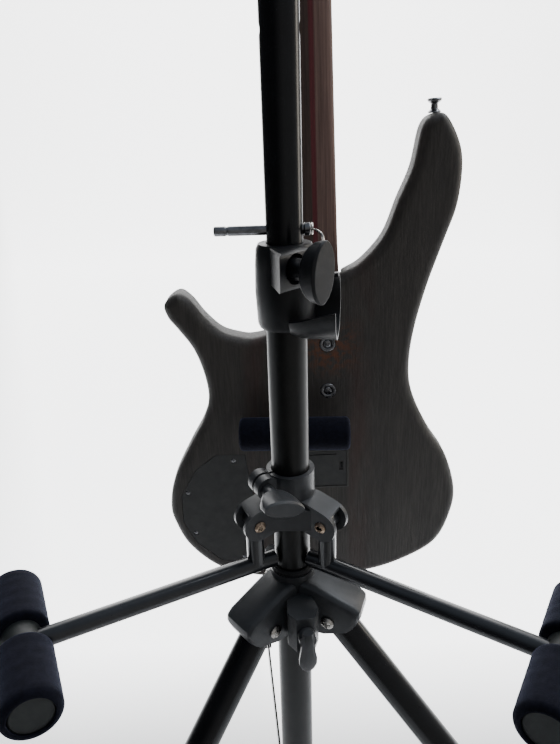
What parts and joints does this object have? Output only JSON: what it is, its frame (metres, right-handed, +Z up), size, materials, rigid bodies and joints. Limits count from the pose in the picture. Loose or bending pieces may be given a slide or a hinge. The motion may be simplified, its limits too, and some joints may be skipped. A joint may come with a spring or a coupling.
{
  "type": "guitar on stand",
  "caption": "Electric bass guitar hanging by its headstock from a folding tripod stand with padded cradle arms, forked yokes, a sliding mast and clamp knobs.",
  "frame": {"origin": "on the floor, below the middle of the box that the three feet span", "axes": "+Z up; +Y towards the hanging guitar, so that the column stands in front of its back; +X to the right of someone looking along +Y"},
  "size_m": [0.7642, 0.7313, 1.4623],
  "materials": {
    "olive_paint": "satin paint, dark olive grey",
    "black_paint": "gloss black powder coat",
    "casting": "satin black glass-filled nylon",
    "rubber": "matt black",
    "foam": "closed-cell black foam",
    "tee": "dark green-grey plastic",
    "steel": "bright steel",
    "dark_chrome": "smoked chrome",
    "body_wood": "matt stained open-pore wood",
    "neck_wood": "satin oiled laminate",
    "board_wood": "rosewood with steel frets",
    "cover_plastic": "matt dark grey",
    "bone": "polished nut with steel strings"
  },
  "bodies": {
    "column": {"column_tube": "olive_paint", "brace_collar": "casting", "clutch_housing": "casting"},
    "head": {"tripod_head": "casting", "head_bush": "rubber", "leg_bolt_left": "steel", "leg_bolt_right": "steel", "leg_bolt_rear": "steel"},
    "head_knob": {"head_knob": "casting"},
    "hub": {"hub": "casting"},
    "hub_knob": {"hub_knob": "casting"},
    "clutch_knob": {"clutch_knob": "casting"},
    "leg_left": {"leg_left": "black_paint", "foot_left": "rubber"},
    "brace_left": {"brace_left": "black_paint"},
    "leg_right": {"leg_right": "black_paint", "foot_right": "rubber"},
    "brace_right": {"brace_right": "black_paint"},
    "leg_rear": {"leg_rear": "black_paint", "foot_rear": "rubber"},
    "brace_rear": {"brace_rear": "black_paint"},
    "arm_left": {"arm_left": "black_paint", "crossbar_left": "tee", "foam_left_1": "foam", "foam_left_2": "foam"},
    "arm_right": {"arm_right": "black_paint", "crossbar_right": "tee", "foam_right_1": "foam", "foam_right_2": "foam"},
    "arm_rear": {"arm_rear": "black_paint", "crossbar_rear": "tee", "foam_rear_1": "foam", "foam_rear_2": "foam"},
    "mast": {"upper_tube": "black_paint", "yoke_head": "casting", "yoke_left": "black_paint", "yoke_right": "black_paint", "yoke_rear": "black_paint"},
    "pin": {"safety_pin": "dark_chrome", "pin_lanyard": "steel"},
    "guitar": {"guitar_body": "body_wood", "neck": "neck_wood", "fretboard": "board_wood", "nut_and_strings": "bone", "bridge": "dark_chrome", "pickup_neck": "casting", "pickup_bridge": "casting", "control_cover": "cover_plastic", "strap_button_horn": "dark_chrome", "strap_button_tail": "dark_chrome"},
    "battery_lid": {"battery_lid": "cover_plastic"},
    "knob_volume": {"knob_volume": "dark_chrome"},
    "knob_balance": {"knob_balance": "dark_chrome"},
    "knob_tone": {"knob_tone": "dark_chrome"},
    "tuner_key_left_1": {"tuner_key_left_1": "dark_chrome"},
    "tuner_key_left_2": {"tuner_key_left_2": "dark_chrome"},
    "tuner_key_left_3": {"tuner_key_left_3": "dark_chrome"},
    "tuner_key_right_1": {"tuner_key_right_1": "dark_chrome"},
    "tuner_key_right_2": {"tuner_key_right_2": "dark_chrome"},
    "tuner_key_right_3": {"tuner_key_right_3": "dark_chrome"}
  },
  "joints": [
    {"name": "head_slide", "type": "slide", "parent": "column", "child": "head", "axis": [0, 0, 1], "range_m": [0, 0.083]},
    {"name": "leg_left_fold", "type": "hinge", "parent": "head", "child": "leg_left", "pos_m": [-0.06248, -0.09448, 0.5104], "axis": [0.6428, -0.766, 0], "range_deg": [0, 25.25]},
    {"name": "brace_left_swing", "type": "hinge", "parent": "column", "child": "brace_left", "pos_m": [-0.05942, -0.09191, 0.058], "axis": [-0.6428, 0.766, 0], "range_deg": [0, 24.93]},
    {"name": "leg_right_fold", "type": "hinge", "parent": "head", "child": "leg_right", "pos_m": [-0.00619, -0.08456, 0.5104], "axis": [0.342, 0.9397, 0], "range_deg": [0, 25.25]},
    {"name": "brace_right_swing", "type": "hinge", "parent": "column", "child": "brace_right", "pos_m": [-0.00995, -0.08319, 0.058], "axis": [-0.342, -0.9397, 0], "range_deg": [0, 24.93]},
    {"name": "leg_rear_fold", "type": "hinge", "parent": "head", "child": "leg_rear", "pos_m": [-0.04293, -0.04077, 0.5104], "axis": [-0.9848, -0.1736, 0], "range_deg": [0, 25.25]},
    {"name": "brace_rear_swing", "type": "hinge", "parent": "column", "child": "brace_rear", "pos_m": [-0.04224, -0.04471, 0.058], "axis": [0.9848, 0.1736, 0], "range_deg": [0, 24.93]},
    {"name": "hub_slide", "type": "slide", "parent": "column", "child": "hub", "axis": [0, 0, 1], "range_m": [0, 0.083]},
    {"name": "head_knob_turn", "type": "hinge", "parent": "head", "child": "head_knob", "pos_m": [-0.0372, -0.07327, 0.519], "axis": [0.1736, -0.9848, 0], "range_deg": [0, 360]},
    {"name": "hub_knob_turn", "type": "hinge", "parent": "hub", "child": "hub_knob", "pos_m": [-0.05903, -0.0844, 0.6285], "axis": [0.454, -0.891, 0], "range_deg": [0, 360]},
    {"name": "clutch_knob_turn", "type": "hinge", "parent": "column", "child": "clutch_knob", "pos_m": [-0.05058, -0.08814, 0.7924], "axis": [0.7431, -0.6691, 0], "range_deg": [0, 360]},
    {"name": "arm_left_fold", "type": "hinge", "parent": "hub", "child": "arm_left", "pos_m": [-0.06546, -0.08718, 0.6], "axis": [-0.4415, 0.8973, 0], "range_deg": [0, 85]},
    {"name": "arm_right_fold", "type": "hinge", "parent": "hub", "child": "arm_right", "pos_m": [-0.01103, -0.0908, 0.6], "axis": [-0.5563, -0.831, 0], "range_deg": [0, 85]},
    {"name": "arm_rear_fold", "type": "hinge", "parent": "hub", "child": "arm_rear", "pos_m": [-0.03594, -0.0418, 0.6], "axis": [0.9992, -0.0401, 0], "range_deg": [0, 85]},
    {"name": "mast_slide", "type": "slide", "parent": "column", "child": "mast", "axis": [0, 0, 1], "range_m": [0, 0.15]},
    {"name": "pin_pull", "type": "slide", "parent": "mast", "child": "pin", "axis": [1, 0, 0], "range_m": [0, 0.06]},
    {"name": "guitar_lift", "type": "slide", "parent": "mast", "child": "guitar", "axis": [0, 0, 1], "range_m": [0, 0.04]},
    {"name": "battery_lid_hinge", "type": "hinge", "parent": "guitar", "child": "battery_lid", "pos_m": [-0.02537, 0.15831, 0.49591], "axis": [0.0171, 0.0262, -0.9995], "range_deg": [0, 100]},
    {"name": "knob_volume_turn", "type": "hinge", "parent": "guitar", "child": "knob_volume", "pos_m": [-0.08702, 0.19664, 0.4761], "axis": [0, 0.9997, 0.0262], "range_deg": [-150, 150]},
    {"name": "knob_balance_turn", "type": "hinge", "parent": "guitar", "child": "knob_balance", "pos_m": [-0.11342, 0.19757, 0.44066], "axis": [0, 0.9997, 0.0262], "range_deg": [-150, 150]},
    {"name": "knob_tone_turn", "type": "hinge", "parent": "guitar", "child": "knob_tone", "pos_m": [-0.13582, 0.1985, 0.40528], "axis": [0, 0.9997, 0.0262], "range_deg": [-150, 150]},
    {"name": "tuner_key_left_1_turn", "type": "hinge", "parent": "guitar", "child": "tuner_key_left_1", "pos_m": [-0.06686, 0.1552, 1.31377], "axis": [-0.9999, 0.0004, -0.0171], "continuous": true},
    {"name": "tuner_key_left_2_turn", "type": "hinge", "parent": "guitar", "child": "tuner_key_left_2", "pos_m": [-0.06768, 0.15394, 1.36175], "axis": [-0.9999, 0.0004, -0.0171], "continuous": true},
    {"name": "tuner_key_left_3_turn", "type": "hinge", "parent": "guitar", "child": "tuner_key_left_3", "pos_m": [-0.0685, 0.15269, 1.40972], "axis": [-0.9999, 0.0004, -0.0171], "continuous": true},
    {"name": "tuner_key_right_1_turn", "type": "hinge", "parent": "guitar", "child": "tuner_key_right_1", "pos_m": [0.02013, 0.15516, 1.31526], "axis": [0.9999, -0.0004, 0.0171], "continuous": true},
    {"name": "tuner_key_right_2_turn", "type": "hinge", "parent": "guitar", "child": "tuner_key_right_2", "pos_m": [0.01931, 0.1539, 1.36323], "axis": [0.9999, -0.0004, 0.0171], "continuous": true},
    {"name": "tuner_key_right_3_turn", "type": "hinge", "parent": "guitar", "child": "tuner_key_right_3", "pos_m": [0.01849, 0.15265, 1.41121], "axis": [0.9999, -0.0004, 0.0171], "continuous": true}
  ],
  "couplings": [
    {"joint": "leg_left_fold", "follows": "head_slide", "rad_per_m": 5.3033},
    {"joint": "brace_left_swing", "follows": "head_slide", "rad_per_m": 5.2362},
    {"joint": "leg_right_fold", "follows": "head_slide", "rad_per_m": 5.3033},
    {"joint": "brace_right_swing", "follows": "head_slide", "rad_per_m": 5.2362},
    {"joint": "leg_rear_fold", "follows": "head_slide", "rad_per_m": 5.3033},
    {"joint": "brace_rear_swing", "follows": "head_slide", "rad_per_m": 5.2362},
    {"joint": "hub_slide", "follows": "head_slide", "ratio": 1}
  ]
}
